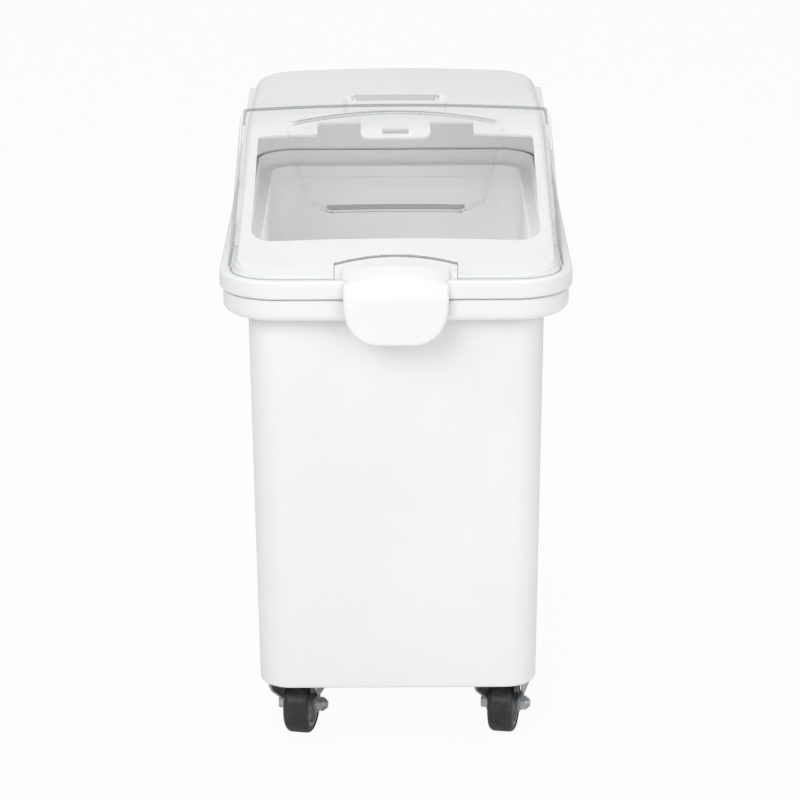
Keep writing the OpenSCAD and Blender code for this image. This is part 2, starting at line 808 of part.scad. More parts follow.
module axle_bolt() {
    color("silver") {
        translate([0, 0, -washer_face - bolt_head_h / 2])
            cylinder(d = axle_d, h = 2 * washer_face + bolt_head_h / 2 + nut_h + bolt_end);
        translate([0, 0, -washer_face - bolt_head_h])
            cylinder(r = axle_d * bolt_head_share, h = bolt_head_h, $fn = 6);
    }
}

module axle_nut() {
    color("silver") translate([0, 0, washer_face]) difference() {
        union() {
            cylinder(r = axle_d * bolt_head_share, h = nut_h * nut_dome_share, $fn = 6);
            cylinder(r = axle_d * nut_dome_share, h = nut_h);
        }
        translate([0, 0, -over]) cylinder(d = axle_d + 2 * fit_clear, h = nut_h + 2 * over);
    }
}

module axle_washers() {
    color("gainsboro") for (s = [0, 1]) mirror([0, 0, s]) translate([0, 0, leg_face]) difference() {
        cylinder(r = washer_r, h = washer_t);
        translate([0, 0, -over]) cylinder(d = axle_d + 2 * fit_clear, h = washer_t + 2 * over);
    }
}

module wheel_core() {
    color("gray") difference() {
        union() {
            cylinder(r = hub_r, h = hub_w, center = true);
            cylinder(r = core_r, h = core_w, center = true);
        }
        cylinder(r = sleeve_r + run_clear, h = 2 * hub_w, center = true);
        for (s = [0, 1]) mirror([0, 0, s]) translate([0, 0, core_w / 2 - core_dish]) difference() {
            cylinder(r = core_web_r, h = hub_w);
            translate([0, 0, -over]) cylinder(r = hub_r, h = 2 * hub_w);
        }
    }
}

module tyre() {
    let (e = tyre_edge_r, seat = core_r + fit_clear) color("dimgray") rotate_extrude() intersection() {
        translate([seat, -wheel_w]) square([wheel_r, 2 * wheel_w]);
        union() {
            translate([0, -wheel_w / 2]) square([wheel_r - e, wheel_w]);
            translate([0, -wheel_w / 2 + e]) square([wheel_r, wheel_w - 2 * e]);
            for (s = [-1, 1]) translate([wheel_r - e, s * (wheel_w / 2 - e)]) circle(e);
        }
    }
}

bin_body();
lid_base();
clear_lid();
floor_inserts();
caster_screws();
spot(-1, front_y) top_plate();  // front_left_top_plate
spot(-1, front_y) balls();  // front_left_balls
spot(-1, front_y) race_cup();  // front_left_race_cup
spot(-1, front_y) kingpin();  // front_left_kingpin
front_left() swivel_fork();  // front_left_fork
spot(1, front_y) top_plate();  // front_right_top_plate
spot(1, front_y) balls();  // front_right_balls
spot(1, front_y) race_cup();  // front_right_race_cup
spot(1, front_y) kingpin();  // front_right_kingpin
front_right() swivel_fork();  // front_right_fork
rear_left() rigid_fork();  // rear_left_fork
rear_right() rigid_fork();  // rear_right_fork
front_left() axle_at(trail) axle_bolt();  // front_left_axle_bolt
front_left() axle_at(trail) axle_nut();  // front_left_axle_nut
front_left() axle_at(trail) axle_washers();  // front_left_axle_washers
front_left() axle_at(trail) axle_sleeve();  // front_left_axle_sleeve
front_left() axle_at(trail) wheel_core();  // front_left_wheel_core
front_left() axle_at(trail) tyre();  // front_left_tyre
front_right() axle_at(trail) axle_bolt();  // front_right_axle_bolt
front_right() axle_at(trail) axle_nut();  // front_right_axle_nut
front_right() axle_at(trail) axle_washers();  // front_right_axle_washers
front_right() axle_at(trail) axle_sleeve();  // front_right_axle_sleeve
front_right() axle_at(trail) wheel_core();  // front_right_wheel_core
front_right() axle_at(trail) tyre();  // front_right_tyre
rear_left() axle_at(0) axle_bolt();  // rear_left_axle_bolt
rear_left() axle_at(0) axle_nut();  // rear_left_axle_nut
rear_left() axle_at(0) axle_washers();  // rear_left_axle_washers
rear_left() axle_at(0) axle_sleeve();  // rear_left_axle_sleeve
rear_left() axle_at(0) wheel_core();  // rear_left_wheel_core
rear_left() axle_at(0) tyre();  // rear_left_tyre
rear_right() axle_at(0) axle_bolt();  // rear_right_axle_bolt
rear_right() axle_at(0) axle_nut();  // rear_right_axle_nut
rear_right() axle_at(0) axle_washers();  // rear_right_axle_washers
rear_right() axle_at(0) axle_sleeve();  // rear_right_axle_sleeve
rear_right() axle_at(0) wheel_core();  // rear_right_wheel_core
rear_right() axle_at(0) tyre();  // rear_right_tyre
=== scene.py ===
"""Looks of a rolling flour bin: moulded white bin and hood, clear lid, steel casters."""

import json
from math import atan2, cos, pi, radians, sin, sqrt, tan

import bmesh
import bpy
from mathutils import Matrix, Vector


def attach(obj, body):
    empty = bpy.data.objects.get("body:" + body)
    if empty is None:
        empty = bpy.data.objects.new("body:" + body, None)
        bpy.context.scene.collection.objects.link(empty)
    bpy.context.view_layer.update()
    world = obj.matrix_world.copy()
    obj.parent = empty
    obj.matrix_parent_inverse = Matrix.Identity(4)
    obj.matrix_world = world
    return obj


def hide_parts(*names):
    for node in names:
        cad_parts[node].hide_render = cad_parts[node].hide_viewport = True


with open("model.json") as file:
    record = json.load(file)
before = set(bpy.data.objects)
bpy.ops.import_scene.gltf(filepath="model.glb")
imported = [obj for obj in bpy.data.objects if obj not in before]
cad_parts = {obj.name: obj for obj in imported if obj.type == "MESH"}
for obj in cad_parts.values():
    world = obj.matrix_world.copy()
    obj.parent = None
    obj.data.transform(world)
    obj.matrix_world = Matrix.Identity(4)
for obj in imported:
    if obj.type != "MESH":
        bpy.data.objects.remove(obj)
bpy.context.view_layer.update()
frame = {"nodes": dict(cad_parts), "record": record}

MM = 0.001

# Sizes shared with the CAD part, in millimetres, with the slope's angle in radians
MID_Y = 7.5
FOOT_HALF_X = 170.0
FOOT_HALF_Y = 327.5
CORNER_R = 40.0
RIM_R = 33.0
FLOOR_Z = 95.0
FOOT_Z = 85.0
RIM_Z = 589.0
SKIRT_Z = 612.0
HOOD_Z = 725.0
WALL = 3.5
CROWN = 6.0
SLOPE = radians(16)
LID_FRONT_Y = -352.0
LID_FRONT_Z = 626.0
LID_DEPTH = 17.0
LID_T = 3.0
TONGUE_FRONT_Y = -375.0
CREASE_Y = LID_FRONT_Y + (HOOD_Z - LID_FRONT_Z + LID_DEPTH / cos(SLOPE)) / tan(SLOPE)
LID_REAR_Y = CREASE_Y - 15
CASTER_X = 127.0
CASTER_Y = 282.0

# Arc that the lid's shoes and the hood's rails follow: its centre and radius
ARC_Y, ARC_Z, ARC_R = 257.209, -423.081, 1136.0


# Mesh tools


def smoothstep(lo, hi, v):
    """0 below lo, 1 above hi and an even ramp between."""
    t = min(1.0, max(0.0, (v - lo) / (hi - lo)))
    return t * t * (3 - 2 * t)


def smooth_min(a, b, k):
    """The smaller of two values, rounded over a width k where they meet."""
    h = max(k - abs(a - b), 0.0) / k
    return min(a, b) - h * h * k / 4


def spread(lo, hi, step):
    """Evenly spaced values from lo to hi, both included, about step apart."""
    n = max(1, round((hi - lo) / step))
    return [lo + (hi - lo) * i / n for i in range(n + 1)]


def linked(name, data):
    """A new object of the scene that shows some data."""
    obj = bpy.data.objects.new(name, data)
    bpy.context.scene.collection.objects.link(obj)
    return obj


def mesh_object(name, verts, faces, smooth=True):
    """A mesh object from points in millimetres."""
    mesh = bpy.data.meshes.new(name)
    mesh.from_pydata([Vector(v) * MM for v in verts], [], faces)
    mesh.validate()
    bm = bmesh.new()
    bm.from_mesh(mesh)
    bmesh.ops.recalc_face_normals(bm, faces=bm.faces)
    bm.to_mesh(mesh)
    bm.free()
    mesh.polygons.foreach_set("use_smooth", [smooth] * len(mesh.polygons))
    return linked(name, mesh)


def applied(obj):
    """Replaces the object's mesh by the result of its modifiers, which are removed."""
    graph = bpy.context.evaluated_depsgraph_get()
    mesh = bpy.data.meshes.new_from_object(obj.evaluated_get(graph))
    obj.modifiers.clear()
    obj.data = mesh
    return obj


def joined(name, objs):
    """One object from several, in the order given."""
    bm = bmesh.new()
    for obj in objs:
        bm.from_mesh(obj.data)
    mesh = bpy.data.meshes.new(name)
    bm.to_mesh(mesh)
    bm.free()
    for obj in objs:
        bpy.data.objects.remove(obj)
    return linked(name, mesh)


def cut(obj, cutter):
    """Takes the cutter out of the object, and removes the cutter."""
    mod = obj.modifiers.new("cut", "BOOLEAN")
    mod.operation = "DIFFERENCE"
    mod.solver = "EXACT"
    mod.object = cutter
    applied(obj)
    bpy.data.objects.remove(cutter)
    return obj


def eased(obj, width, angle=38, segments=3):
    """Rounds the object's sharp edges and smooths its shading between the rest."""
    weld = obj.modifiers.new("weld", "WELD")
    weld.merge_threshold = 0.02 * MM
    bevel = obj.modifiers.new("bevel", "BEVEL")
    bevel.width = width * MM
    bevel.segments = segments
    bevel.limit_method = "ANGLE"
    bevel.angle_limit = radians(angle)
    bevel.use_clamp_overlap = True
    bevel.harden_normals = False
    applied(obj)
    smooth_by_angle(obj, angle)
    return obj


def smooth_by_angle(obj, angle):
    """Smooth shading with a crease wherever two faces meet at more than an angle."""
    mesh = obj.data
    mesh.polygons.foreach_set("use_smooth", [True] * len(mesh.polygons))
    bm = bmesh.new()
    bm.from_mesh(mesh)
    for edge in bm.edges:
        edge.smooth = len(edge.link_faces) == 2 and edge.calc_face_angle(0) < radians(angle)
    bm.to_mesh(mesh)
    bm.free()


def mark_faces(obj, name, value):
    """Stores a value on each face, from its middle in millimetres and how far it faces down."""
    mark = obj.data.attributes.new(name, "FLOAT", "FACE")
    for face in obj.data.polygons:
        mark.data[face.index].value = value(*(c / MM for c in face.center), -face.normal.z)


def loft(name, rings, closed=False):
    """Skin over rings of equal length, with capped ends or the last ring joined to the first."""
    n = len(rings[0])
    verts = [p for ring in rings for p in ring]
    faces = []
    pairs = list(zip(range(len(rings) - 1), range(1, len(rings))))
    if closed:
        pairs.append((len(rings) - 1, 0))
    for a, b in pairs:
        faces += [(a * n + i, a * n + (i + 1) % n, b * n + (i + 1) % n, b * n + i) for i in range(n)]
    if not closed:
        faces.append(tuple(range(n))[::-1])
        faces.append(tuple((len(rings) - 1) * n + i for i in range(n)))
    return mesh_object(name, verts, faces)


def arc_points(cx, cz, r, a0, a1, steps=6):
    """Points of an arc in a section, angles in degrees from the outward direction."""
    angles = [radians(a0 + (a1 - a0) * i / steps) for i in range(steps + 1)]
    return [(cx + r * cos(a), cz + r * sin(a)) for a in angles]


def mirrored(right, middle=()):
    """Points of a right-hand half, those between the halves and the left-hand half in return."""
    return right + list(middle) + [(-x, v) for x, v in reversed(right)]


def outline_rows(half, y0, y1, r0, r1, step, levels=None):
    """Right-hand edge of a rounded outline, front to rear, as (x, y, normal x, normal y)."""
    rows = []
    n = max(6, round(r0 * pi / 2 / step))
    for a in (pi / 2 * i / n for i in range(n)):
        rows.append((half - r0 + r0 * sin(a), y0 + r0 * (1 - cos(a)), sin(a), -cos(a)))
    for y in levels or spread(y0 + r0, y1 - r1, step):
        rows.append((half, y, 1.0, 0.0))
    n = max(6, round(r1 * pi / 2 / step))
    for a in (pi / 2 * i / n for i in range(1, n + 1)):
        rows.append((half - r1 + r1 * cos(a), y1 - r1 + r1 * sin(a), cos(a), sin(a)))
    return rows


EDGE_STEPS = 6


def dome(name, rows, shares, edge, height, rings, place=None):
    """A moulded top over a rounded outline with its edge rounded, and rings that carry its wall down.

    edge gives the rounding at a place along the outline, height the top at a point.
    Each of rings takes a point of the outline, its normal and the wall's top, and gives a point."""
    m, n = len(shares) - 1, len(rows) - 1
    outline = [(s * rows[0][0], rows[0][1], 0.0, -1.0) for s in shares]
    outline += rows[1:]
    outline += [(s * rows[-1][0], rows[-1][1], 0.0, 1.0) for s in reversed(shares[:-1])]
    outline += [(-x, y, -nx, ny) for x, y, nx, ny in reversed(rows[1:-1])]

    def drawn_in(share, drop):
        """The outline drawn in by a share of its rounding, and lowered by another."""
        loop = []
        for x, y, nx, ny in outline:
            r = edge(y)
            z = height(x - nx * r, y - ny * r) - r * drop
            loop.append((x - nx * r * share, y - ny * r * share, z))
        return loop

    verts, faces = [], []
    for x, y, nx, ny in rows:
        r = edge(y)
        ex, ey = x - nx * r, y - ny * r
        verts += [(s * ex, ey, height(s * ex, ey)) for s in shares]
    for i in range(n):
        for j in range(m):
            a = i * (m + 1) + j
            faces.append((a, a + 1, a + m + 2, a + m + 1))
    last = list(range(m + 1))
    last += [i * (m + 1) + m for i in range(1, n + 1)]
    last += [n * (m + 1) + j for j in range(m - 1, -1, -1)]
    last += [i * (m + 1) for i in range(n - 1, 0, -1)]
    count = len(last)
    turns = [pi / 2 * k / EDGE_STEPS for k in range(1, EDGE_STEPS + 1)]
    loops = [drawn_in(1 - sin(a), 1 - cos(a)) for a in turns]
    tops = [z for _, _, z in drawn_in(0, 1)]
    loops += [[ring(*point, top) for point, top in zip(outline, tops)] for ring in rings]
    for loop in loops:
        here = list(range(len(verts), len(verts) + count))
        verts += loop
        faces += [(last[i], last[(i + 1) % count], here[(i + 1) % count], here[i]) for i in range(count)]
        last = here
    if place:
        verts = [place(*v) for v in verts]
    return mesh_object(name, verts, faces)


def thickened(obj, thickness):
    """Gives a skin its wall, grown inwards."""
    mod = obj.modifiers.new("wall", "SOLIDIFY")
    mod.thickness = thickness * MM
    mod.offset = -1
    mod.use_even_offset = True
    return applied(obj)


def slope_point(x, v, w):
    """A point given across, up along and square to the lid's slope."""
    return (x, LID_FRONT_Y + v * cos(SLOPE) - w * sin(SLOPE), LID_FRONT_Z + v * sin(SLOPE) + w * cos(SLOPE))


def slope_coords(y, z):
    """How far a point lies up along and square to the lid's slope."""
    dy, dz = y - LID_FRONT_Y, z - LID_FRONT_Z
    return dy * cos(SLOPE) + dz * sin(SLOPE), dz * cos(SLOPE) - dy * sin(SLOPE)


def slope_prism(name, outline, w0, w1):
    """A prism square to the slope between two depths, on an outline of (across, along)."""
    low = [slope_point(x, v, w0) for x, v in outline]
    high = [slope_point(x, v, w1) for x, v in outline]
    return loft(name, [low, high])


def crown_at(x, half):
    """How far a top of that half width bulges above or falls below its mean at a place across."""
    return CROWN * (0.5 - (x / half) ** 2)


# Bin


def rounded_ring(cx, cy, hx, hy, r, z, arc=14, long_side=18, short_side=10):
    """Points around a rounded rectangle at one level."""
    ring = []
    for k, (sx, sy) in enumerate(((1, 1), (-1, 1), (-1, -1), (1, -1))):
        px, py = cx + sx * (hx - r), cy + sy * (hy - r)
        angles = [pi / 2 * (k + i / arc) for i in range(arc + 1)]
        corner = [(px + r * cos(a), py + r * sin(a)) for a in angles]
        nsx, nsy = ((-1, 1), (-1, -1), (1, -1), (1, 1))[k]
        a = pi / 2 * (k + 1)
        nxt = (cx + nsx * (hx - r) + r * cos(a), cy + nsy * (hy - r) + r * sin(a))
        n = short_side if k % 2 == 0 else long_side
        end = corner[-1]
        ring += corner
        ring += [(end[0] + (nxt[0] - end[0]) * j / n, end[1] + (nxt[1] - end[1]) * j / n)
                 for j in range(1, n)]
    return [(x, y, z) for x, y in ring]


def swept(name, section, closed=False):
    """A skin that carries a section of (outward, level, corner radius) round the bin's floor outline."""
    rings = [rounded_ring(0, MID_Y, FOOT_HALF_X + d, FOOT_HALF_Y + d, r, z) for d, z, r in section]
    return loft(name, rings, closed=closed)


def at_rim(points):
    """Gives points of a section, (outward, level), the corner radius that follows the rim."""
    return [(d, z, RIM_R + d) for d, z in points]


# The wall's lean up to the rim, the rim's depth and the centre and radius of its roll
BIN_LEAN = 7.0
RIM_DEPTH = 28.0
ROLL_OUT, ROLL_R = 25.0, 11.0
PAD_HALF_X, PAD_HALF_Y, PAD_R, PAD_H = 36.0, 29.0, 12.0, 13.0


def bin_section():
    """From the floor's underside round the foot, up the outside, over the rolled rim and down the inside."""

    def lean(z):
        return BIN_LEAN * (z - FOOT_Z) / (RIM_Z - FOOT_Z)

    foot = [(-6, FLOOR_Z), (-6, FOOT_Z + 1), (-5.7, FOOT_Z + 0.3), (-5, FOOT_Z)]
    foot += arc_points(-4, FOOT_Z + 4, 4, -90, 0, 6)
    under, roll_z = RIM_Z - WALL, RIM_Z - RIM_DEPTH + ROLL_R
    rim = arc_points(BIN_LEAN + 4, under - 4, 4, 90, 180, 5)[::-1]
    rim += [(31, under), (32.2, under - 0.6), (32.5, under - 2)]
    rim += arc_points(ROLL_OUT, roll_z, ROLL_R - WALL, 0, -90, 6)
    rim += arc_points(ROLL_OUT, roll_z - ROLL_R + WALL / 2, WALL / 2, 90, 270, 6)[1:-1]
    rim += arc_points(ROLL_OUT, roll_z, ROLL_R, -90, 0, 8)
    rim += arc_points(32, RIM_Z - 4, 4, 0, 90, 6)
    rim += [(20, RIM_Z), (9, RIM_Z)]
    rim += arc_points(5, RIM_Z - 1.5, 1.5, 90, 180, 4)
    inner_r, low = CORNER_R - WALL, lean(110) - WALL
    pts = [(d, z, CORNER_R + d) for d, z in foot]
    pts += [(lean(z), z, CORNER_R) for z in spread(100, 575, 50)]
    pts += at_rim(rim)
    pts += [(lean(z) - WALL, z, inner_r) for z in reversed(spread(125, 575, 50))]
    pts += [(d, z, inner_r + d - low) for d, z in arc_points(low - 9, FLOOR_Z + WALL + 9, 9, 0, -90, 8)]
    return pts


def make_bin():
    """The moulded tub with its rolled rim and the pads that carry the casters."""
    parts = [swept("tub", bin_section())]
    levels = [(0, 2), (0, PAD_H - 1.5), (0.5, PAD_H - 0.4), (1.8, PAD_H)]
    for sx in (-1, 1):
        for sy in (-1, 1):
            cx, cy = sx * CASTER_X, MID_Y + sy * CASTER_Y
            parts.append(loft("pad", [
                rounded_ring(cx, cy, PAD_HALF_X - e, PAD_HALF_Y - e, PAD_R - e, FLOOR_Z + h, 6, 2, 2)
                for e, h in levels]))
    whole = joined("bin_moulding", parts)
    smooth_by_angle(whole, 50)
    return whole


# Hood

# Top outline
HOOD_HALF = 189.0
HOOD_Y0, HOOD_Y1, HOOD_R = -339.0, 354.0, 52.0

# Hand recess in the flat top, with the cut of its rear corners
RECESS_Y0 = CREASE_Y + 4
RECESS_HALF, RECESS_L, RECESS_DEEP, RECESS_CUT = 66.0, 103.0, 8.0, 14.0

# Slanted opening, up along the slope, with its notches and the tab between them
OPENING_V0, OPENING_V1, OPENING_HALF = 94.0, 361.0, 174.0
NOTCH_OUT, NOTCH_IN, NOTCH_UP = 99.0, 44.0, 31.0


def hood_slope(y):
    """Level of the hood's slope under the lid."""
    return LID_FRONT_Z + (y - LID_FRONT_Y) * tan(SLOPE) - LID_DEPTH / cos(SLOPE)


def recess_depth(x, y):
    """Hand recess behind the crease, with its rear corners cut off."""
    corner = (RECESS_HALF + RECESS_Y0 + RECESS_L - RECESS_CUT - abs(x) - y) / sqrt(2)
    inside = min(RECESS_HALF - abs(x), y - RECESS_Y0, RECESS_Y0 + RECESS_L - y, corner)
    return RECESS_DEEP * smoothstep(-0.5, 3, inside)


def recess_shade(x, y, z, down):
    """1 on the rear wall of the hand recess, which lies in shade, and 0 elsewhere."""
    rear = y > RECESS_Y0 + RECESS_L - 8 and z > HOOD_Z - 10
    return 1.0 * (rear and 0.4 < recess_depth(x, y) < RECESS_DEEP - 0.1)


def hood_height(x, y):
    """Top of the hood: slope and flat top, crowned except at the front, less the hand recess."""
    fade = smoothstep(HOOD_Y0, HOOD_Y0 + 89, y)
    top = smooth_min(hood_slope(y), HOOD_Z, 4)
    return top + fade * crown_at(x, HOOD_HALF) + (1 - fade) * 1.2 - recess_depth(x, y)


def hood_edge(y):
    """Rounding of the hood's upper edge: crisp at the front, wider at the crease, widest at the rear."""
    if y < CREASE_Y:
        return 2 + 10 * min(1, max(0, (y - HOOD_Y0) / (CREASE_Y - HOOD_Y0)))
    return 12 + 8 * (y - CREASE_Y) / (HOOD_Y1 - CREASE_Y)


def hood_ring(out, level, share=None):
    """A ring of the hood's wall or skirt, at a distance outside its top outline."""

    def ring(x, y, nx, ny, top):
        z = top + (level - top) * share if share else level
        return (x + nx * out, y + ny * out, min(z, top - 0.05 * (out + 1)) if out < 8 else level)

    return ring


def opening_outline():
    """The slanted opening with its two notches and the tab between them."""
    v0, v1, half = OPENING_V0, OPENING_V1, OPENING_HALF
    right = arc_points(half - 30, v0 + 30, 30, -90, 0, 10) + arc_points(half - 5, v1 - 5, 5, 0, 90, 5)
    right += [(NOTCH_OUT, v1), (NOTCH_OUT, v1 + NOTCH_UP), (NOTCH_IN, v1 + NOTCH_UP)]
    right += arc_points(NOTCH_IN - 12, v1 - 1, 12, 0, -90, 6)
    return mirrored(right)


def make_hood():
    """The moulded hood: skirt, slope with its opening, flat top with a recess, seat lip and tongue."""
    rows = outline_rows(HOOD_HALF, HOOD_Y0, HOOD_Y1, HOOD_R, HOOD_R, 3.6)
    shares = [v / 100 for v in spread(-100, 100, 1.9)]
    rings = [hood_ring(1.5, SKIRT_Z + 4, 0.5), hood_ring(3, SKIRT_Z + 5), hood_ring(3.6, SKIRT_Z + 2.2),
             hood_ring(5, SKIRT_Z + 0.6), hood_ring(7.5, SKIRT_Z)]
    rings += [hood_ring(d, z) for d, z in reversed(arc_points(17, SKIRT_Z - 4, 4, 0, 90, 6))]
    rings += [hood_ring(21, RIM_Z + 12)]
    rings += [hood_ring(d, z) for d, z in arc_points(17, RIM_Z + 4.4, 4, 0, -80, 5)]
    shell = thickened(dome("hood", rows, shares, hood_edge, hood_height, rings), WALL)
    cut(shell, slope_prism("opening", opening_outline(), -45, -8))
    slot = [(-16.5, 357), (16.5, 357), (16.5, 374), (-16.5, 374)]
    cut(shell, slope_prism("hook_slot", slot, -45, -8))
    eased(shell, 1.0)
    seat = [(22, SKIRT_Z - WALL - 1), (22, RIM_Z), (2.5, RIM_Z), (2.5, RIM_Z - 11), (1.7, RIM_Z - 12),
            (-0.2, RIM_Z - 12), (-1, RIM_Z - 11), (-1, RIM_Z + WALL), (12, RIM_Z + WALL + 1),
            (15.5, RIM_Z + WALL + 6), (15.5, SKIRT_Z - 0.5)]
    lip = eased(swept("seat", at_rim(seat), closed=True), 0.5)
    whole = joined("hood_moulding", [shell, lip, make_tongue()])
    mark_faces(whole, "shade", recess_shade)
    return whole


# Profile of the tongue from its tip up the front, round the top and back along the slope
TONGUE_HALF = 60.0
TONGUE_TIP_R = 39.0
TONGUE_BOW = 0.012
TONGUE_FACE = 52.0
TONGUE_BEND_R = 30.0
TONGUE_BEND = radians(70)
TONGUE_L = TONGUE_FACE + TONGUE_BEND_R * TONGUE_BEND + 26

# Block that joins the tongue to the skirt
ROOT_Y, ROOT_HALF_X, ROOT_HALF_Y = -348.0, 56.0, 13.0


def tongue_place(x, t, height):
    """Carries a point of the flat tongue on to its bent profile."""
    y0, z0 = TONGUE_FRONT_Y, RIM_Z - TONGUE_FACE
    depth = -height + TONGUE_BOW * x * x / 10
    if t < TONGUE_FACE:
        return (x, y0 + depth, z0 + t)
    a = min((t - TONGUE_FACE) / TONGUE_BEND_R, TONGUE_BEND)
    r = TONGUE_BEND_R - depth
    y = y0 + TONGUE_BEND_R - r * cos(a)
    z = z0 + TONGUE_FACE + r * sin(a)
    rest = max(0.0, t - TONGUE_FACE - TONGUE_BEND_R * TONGUE_BEND)
    return (x, y + rest * sin(a), z + rest * cos(a))


def make_tongue():
    """The shield that hangs in front of the skirt and runs back under the lid's arch."""
    rows = []
    for x, t, nx, ny in outline_rows(TONGUE_HALF, 0, TONGUE_L, TONGUE_TIP_R, 6, 2.6):
        rows.append((x + 2 * smoothstep(20, 60, t) + 3 * smoothstep(60, TONGUE_L, t), t, nx, ny))
    shares = [v / 100 for v in spread(-100, 100, 4)]
    rings = [lambda x, y, nx, ny, top, e=e, drop=drop: (x - nx * e, y - ny * e, top - drop)
             for e, drop in ((0, 0.6), (0.3, 1.2), (1.2, 1.5), (6, 1.5), (14, 1.5), (24, 1.5))]
    shield = dome("tongue", rows, shares, lambda y: 4.0, lambda x, y: 0.0, rings, tongue_place)
    root = [rounded_ring(0, ROOT_Y, ROOT_HALF_X, ROOT_HALF_Y, 5, z, 5, 3, 6) for z in (RIM_Z + 1, RIM_Z + 13)]
    both = joined("tongue", [shield, loft("root", root)])
    smooth_by_angle(both, 50)
    return both


# Clear lid

# Half width, corner radii, and where the straight sides are clear of the front corners
LID_HALF = 197.5
LID_FRONT_R, LID_REAR_R = 54.0, 10.0
LID_SIDE_Y = -290.0

# Grip recess, up along the slope: its low and high ends with their half widths, and its arch
GRIP_V0, GRIP_V1 = 146.0, 360.0
GRIP_HALF0, GRIP_HALF1 = 106.0, 140.0
GRIP_RISE = 28.0
LEDGE_HALF, LEDGE_V1 = 83.0, 192.0

# Cut-out over the tongue: half width, level of its steps and the arch above them
ARCH_HALF, ARCH_V, ARCH_RISE = 72.0, 8.0, 18.0


def grip_arch(x):
    """Upper end of the lid's grip recess, up the slope."""
    return GRIP_V1 + GRIP_RISE * (1 - (x / GRIP_HALF1) ** 2)


def grip_side(x, v):
    """How far a point lies inside the slanted sides of the lid's grip recess."""
    return GRIP_HALF0 + (GRIP_HALF1 - GRIP_HALF0) * (v - GRIP_V0) / (GRIP_V1 - GRIP_V0) - abs(x)


def grip_depth(x, v):
    """Depth of the lid's grip recess: arched at the top, deeper towards its finger ledge."""
    side = grip_side(x, v) * 0.99
    inside = smooth_min(smooth_min(v - GRIP_V0, side, 34), grip_arch(x) - v, 5)
    if inside <= 0 or side <= 0:
        return 0.0
    floor = 6 - 4.5 * min(1, max(0, (v - GRIP_V0) / (GRIP_V1 + GRIP_RISE - GRIP_V0)))
    ledge = smooth_min(smooth_min(LEDGE_V1 - v, LEDGE_HALF - abs(x), 18), v - (GRIP_V0 + 1), 4)
    return floor * smoothstep(0, 2.4, inside) * smoothstep(0, 14, side) + 2 * smoothstep(0, 2, ledge)


def lid_height(x, y):
    """Top of the lid: its slope, crowned, less the grip recess."""
    v = (y - LID_FRONT_Y) / cos(SLOPE)
    return LID_FRONT_Z + (y - LID_FRONT_Y) * tan(SLOPE) + crown_at(x, LID_HALF) - grip_depth(x, v)


def lid_edge(y):
    """Rounding of the lid's upper edge: wide at the sides, crisp at the rear."""
    return 9 - 6.5 * smoothstep(LID_REAR_Y - 14, LID_REAR_Y - 2, y)


def lid_wall(share):
    """A ring of the lid's wall: deep at the sides, a lip at the front and a short flange at the rear."""

    def ring(x, y, nx, ny, top):
        deep = 46 if y < -100 else 1 + 45 * smoothstep(0.35, 0.98, abs(nx))
        low = max(SKIRT_Z + 0.4, top - deep)
        out = 2.5 * share * abs(nx) if y > LID_SIDE_Y else 0
        return (x + nx * out, y + ny * out, top + (low - top) * share)

    return ring


def arch_outline():
    """Cut-out over the tongue, with a short upright step at each end."""
    right = [(ARCH_HALF, -28), (ARCH_HALF, ARCH_V)]
    right += [(ARCH_HALF * s, ARCH_V + ARCH_RISE * (1 - s * s)) for s in [1 - i / 12 for i in range(1, 12)]]
    return mirrored(right, [(0, ARCH_V + ARCH_RISE)])


def lid_painted_edge_line(x, y, z, down):
    """How much painted dark edge line a face gets, for the dark look of the lid's edges: cut edges, the
    grip's sides and ledge, the rear edge.
    """
    v, w = slope_coords(y, z)
    x = abs(x)
    front = ARCH_V + ARCH_RISE * (1 - (x / ARCH_HALF) ** 2)
    step = x > ARCH_HALF - 0.6 and v < ARCH_V + 0.5
    return max(
        1.0 * (x < ARCH_HALF + 0.6 and (abs(v - front) < 0.6 or step)),
        0.8 * (y > LID_REAR_Y - 2.2),
        0.5 * (down > 0.75 and w < -12.5 and (x > LID_HALF - 0.2 or y < LID_SIDE_Y)),
        0.85 * (x < LEDGE_HALF + 1 and GRIP_V0 - 0.5 < v < GRIP_V0 + 3),
        0.12 * (GRIP_V0 + 4 < v < GRIP_V1 - 10 and 0 < grip_side(x, v) < 4),
    )


def arch_painted_edge_line(x, y, z):
    """How much painted dark edge line a point gets along the grip recess's arched end, softly."""
    v, _ = slope_coords(y, z)
    return 0.9 * smoothstep(2.0, 0.5, abs(v - grip_arch(x) + 0.9)) * smoothstep(142, 118, abs(x))


def make_lid():
    """The clear lid with its walls, grip recess, arched front edge and shoes."""
    levels = spread(LID_FRONT_Y + LID_FRONT_R, -215, 3.4)[:-1] + spread(-215, -205, 0.9)[:-1]
    levels += spread(-205, -9, 3.4)[:-1] + spread(-9, 26, 0.9)[:-1] + spread(26, LID_REAR_Y - LID_REAR_R, 2)
    rows = outline_rows(LID_HALF, LID_FRONT_Y, LID_REAR_Y, LID_FRONT_R, LID_REAR_R, 2.4, levels)
    shares = [v / 100 for v in spread(-100, 100, 1.3)]
    shell = dome("lid", rows, shares, lid_edge, lid_height, [lid_wall(0.33), lid_wall(0.66), lid_wall(1)])
    thickened(shell, LID_T)
    cut(shell, slope_prism("arch", arch_outline(), -60, 15))
    eased(shell, 0.4, 45, 2)
    shoes = [arc_block("shoe", side, SHOE_X, radii, at)
             for side in (-1, 1) for at in SHOE_AT for radii in SHOE_R]
    whole = joined("lid_moulding", [shell] + shoes)
    # Painted dark edge lines: faces and points where the clear plastic's colour is darkened
    mark_faces(whole, "line", lid_painted_edge_line)
    arch = whole.data.attributes.new("arch", "FLOAT", "POINT")
    for point in whole.data.vertices:
        arch.data[point.index].value = arch_painted_edge_line(*(c / MM for c in point.co))
    return whole


